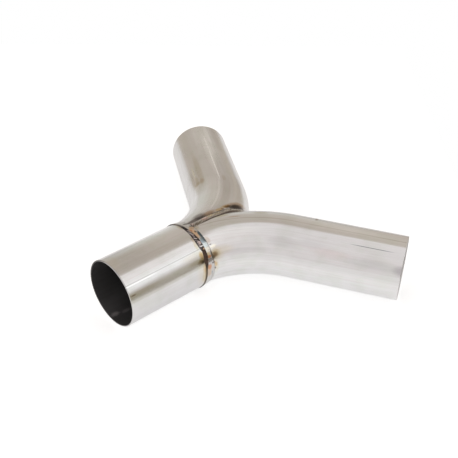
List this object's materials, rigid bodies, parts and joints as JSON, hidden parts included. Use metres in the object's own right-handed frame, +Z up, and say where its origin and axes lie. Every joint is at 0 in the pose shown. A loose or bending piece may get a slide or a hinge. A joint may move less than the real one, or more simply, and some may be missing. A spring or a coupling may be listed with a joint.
{
  "type": "exhaust y-pipe",
  "caption": "Welded exhaust Y-pipe: a straight slip-on inlet sleeve that parts into a left and a right bent outlet tube.",
  "frame": {"origin": "centre of the inlet sleeve's open mouth", "axes": "+X runs with the gas along the inlet's axis, +Y points to the left outlet and +Z is up; the axes of all three tubes lie in the plane z = 0"},
  "size_m": [0.2623, 0.3362, 0.0687],
  "materials": {
    "tube_steel": "bright rolled tube, lightly soiled, tinted by heat beside the welds",
    "weld_steel": "rippled weld metal with straw, brown and blue heat tint"
  },
  "bodies": {
    "root": {"inlet_sleeve": "tube_steel", "left_branch": "tube_steel", "right_branch": "tube_steel", "collar_wash_weld": "weld_steel", "collar_edge_weld": "weld_steel", "branch_seam_weld": "weld_steel"}
  },
  "joints": []
}
